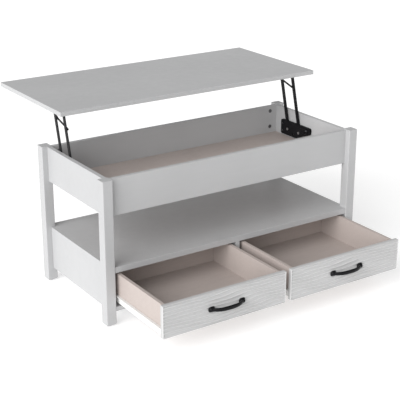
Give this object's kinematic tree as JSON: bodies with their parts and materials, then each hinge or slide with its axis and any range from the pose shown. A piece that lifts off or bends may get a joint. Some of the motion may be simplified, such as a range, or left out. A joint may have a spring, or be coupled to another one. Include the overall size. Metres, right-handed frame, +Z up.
{
  "type": "lift top coffee table",
  "caption": "Coffee table whose whole top lifts and moves back on parallel arms over a storage tray, with an open shelf and roller drawers below.",
  "frame": {"origin": "on the floor under the centre of the whole table as it stands with its top raised and drawers pulled out; the leg frame's centre is 18.5 mm behind it", "axes": "+X along the table towards the right-hand side seen from the drawers, +Y away from the drawer side, +Z up"},
  "size_m": [1.05, 1.053, 0.6658],
  "materials": {
    "grey_paint": "satin light grey lacquer on fibreboard and solid legs",
    "wave_front": "satin light grey lacquer over carved waves",
    "beige_board": "matt pinkish beige melamine-faced board",
    "black_steel": "black powder coat",
    "rivet_steel": "bright zinc-plated rivets",
    "spring_steel": "blackened spring wire",
    "zinc": "zinc-plated",
    "white_steel": "white epoxy coat",
    "white_nylon": "natural white nylon",
    "dark_nylon": "dark grey nylon",
    "handle_black": "satin black coat on cast zinc"
  },
  "bodies": {
    "frame": {"leg_front_left": "grey_paint", "leg_front_right": "grey_paint", "leg_back_left": "grey_paint", "leg_back_right": "grey_paint", "leg_glides": "dark_nylon", "apron_front": "grey_paint", "apron_back": "grey_paint", "apron_left": "grey_paint", "apron_right": "grey_paint", "cam_locks": "zinc", "cam_bolts": "zinc", "tray_bottom": "beige_board", "shelf": "grey_paint", "case_floor": "grey_paint", "side_panel_left": "grey_paint", "side_panel_right": "grey_paint", "case_back": "grey_paint", "case_divider": "grey_paint", "base_bracket_screws": "zinc", "lift_base_bracket_left": "black_steel", "lift_base_pins_left": "rivet_steel", "lift_spring_left": "spring_steel", "drawer_left_case_runners": "white_steel", "lift_base_bracket_right": "black_steel", "lift_base_pins_right": "rivet_steel", "lift_spring_right": "spring_steel", "drawer_right_case_runners": "white_steel"},
    "drawer_left": {"drawer_left_front": "wave_front", "drawer_left_side_left": "beige_board", "drawer_left_side_right": "beige_board", "drawer_left_back": "beige_board", "drawer_left_floor": "beige_board", "drawer_left_handle": "handle_black", "drawer_left_handle_screws": "zinc", "drawer_left_runners": "white_steel"},
    "drawer_left_rear_rollers": {"drawer_left_rear_rollers": "white_nylon"},
    "drawer_left_front_rollers": {"drawer_left_front_rollers": "white_nylon"},
    "drawer_right": {"drawer_right_front": "wave_front", "drawer_right_side_left": "beige_board", "drawer_right_side_right": "beige_board", "drawer_right_back": "beige_board", "drawer_right_floor": "beige_board", "drawer_right_handle": "handle_black", "drawer_right_handle_screws": "zinc", "drawer_right_runners": "white_steel"},
    "drawer_right_rear_rollers": {"drawer_right_rear_rollers": "white_nylon"},
    "drawer_right_front_rollers": {"drawer_right_front_rollers": "white_nylon"},
    "rear_arm_left": {"lift_arm_rear_left": "black_steel"},
    "front_arm_left": {"lift_arm_front_left": "black_steel"},
    "stay_left": {"lift_stay_left": "black_steel"},
    "rear_arm_right": {"lift_arm_rear_right": "black_steel"},
    "front_arm_right": {"lift_arm_front_right": "black_steel"},
    "stay_right": {"lift_stay_right": "black_steel"},
    "top": {"tabletop": "grey_paint", "upper_bracket_screws": "zinc", "lift_upper_bracket_left": "black_steel", "lift_upper_bracket_right": "black_steel", "lift_upper_pins_left": "rivet_steel", "lift_upper_pins_right": "rivet_steel"}
  },
  "joints": [
    {"name": "lift", "type": "hinge", "parent": "frame", "child": "rear_arm_right", "pos_m": [0, 0.1325, 0.425], "axis": [1, 0, 0], "range_deg": [0, 86.27]},
    {"name": "top_level", "type": "hinge", "parent": "rear_arm_right", "child": "top", "pos_m": [0, 0.18829, 0.6423], "axis": [1, 0, 0], "range_deg": [-86.77, 0.5]},
    {"name": "rear_arm_left_swing", "type": "hinge", "parent": "frame", "child": "rear_arm_left", "pos_m": [0, 0.1325, 0.425], "axis": [1, 0, 0], "range_deg": [-0.5, 86.77]},
    {"name": "front_arm_left_swing", "type": "hinge", "parent": "frame", "child": "front_arm_left", "pos_m": [0, 0.0645, 0.425], "axis": [1, 0, 0], "range_deg": [-0.5, 86.77]},
    {"name": "front_arm_right_swing", "type": "hinge", "parent": "frame", "child": "front_arm_right", "pos_m": [0, 0.0645, 0.425], "axis": [1, 0, 0], "range_deg": [-0.5, 86.77]},
    {"name": "stay_left_swing", "type": "hinge", "parent": "rear_arm_left", "child": "stay_left", "pos_m": [0, 0.18049, 0.61194], "axis": [1, 0, 0], "range_deg": [-99.61, 1]},
    {"name": "stay_right_swing", "type": "hinge", "parent": "rear_arm_right", "child": "stay_right", "pos_m": [0, 0.18049, 0.61194], "axis": [1, 0, 0], "range_deg": [-99.61, 1]},
    {"name": "drawer_left_slide", "type": "slide", "parent": "frame", "child": "drawer_left", "axis": [0, 1, 0], "range_m": [0, 0.287]},
    {"name": "drawer_left_front_roller_spin", "type": "hinge", "parent": "frame", "child": "drawer_left_front_rollers", "pos_m": [0, -0.1872, 0.0908], "axis": [1, 0, 0], "range_deg": [-1895, 5]},
    {"name": "drawer_left_rear_roller_spin", "type": "hinge", "parent": "drawer_left", "child": "drawer_left_rear_rollers", "pos_m": [0, -0.1492, 0.0832], "axis": [1, 0, 0], "range_deg": [-1895, 5]},
    {"name": "drawer_right_slide", "type": "slide", "parent": "frame", "child": "drawer_right", "axis": [0, 1, 0], "range_m": [0, 0.287]},
    {"name": "drawer_right_front_roller_spin", "type": "hinge", "parent": "frame", "child": "drawer_right_front_rollers", "pos_m": [0, -0.1872, 0.0908], "axis": [1, 0, 0], "range_deg": [-1895, 5]},
    {"name": "drawer_right_rear_roller_spin", "type": "hinge", "parent": "drawer_right", "child": "drawer_right_rear_rollers", "pos_m": [0, -0.1492, 0.0832], "axis": [1, 0, 0], "range_deg": [-1895, 5]}
  ],
  "couplings": [
    {"joint": "top_level", "follows": "lift", "ratio": -1},
    {"joint": "rear_arm_left_swing", "follows": "lift", "ratio": 1},
    {"joint": "front_arm_left_swing", "follows": "lift", "ratio": 1},
    {"joint": "front_arm_right_swing", "follows": "lift", "ratio": 1},
    {"joint": "stay_left_swing", "follows": "lift", "ratio": -1.143},
    {"joint": "stay_right_swing", "follows": "lift", "ratio": -1.143},
    {"joint": "drawer_left_front_roller_spin", "follows": "drawer_left_slide", "rad_per_m": -114.94},
    {"joint": "drawer_left_rear_roller_spin", "follows": "drawer_left_slide", "rad_per_m": -114.94},
    {"joint": "drawer_right_front_roller_spin", "follows": "drawer_right_slide", "rad_per_m": -114.94},
    {"joint": "drawer_right_rear_roller_spin", "follows": "drawer_right_slide", "rad_per_m": -114.94}
  ]
}
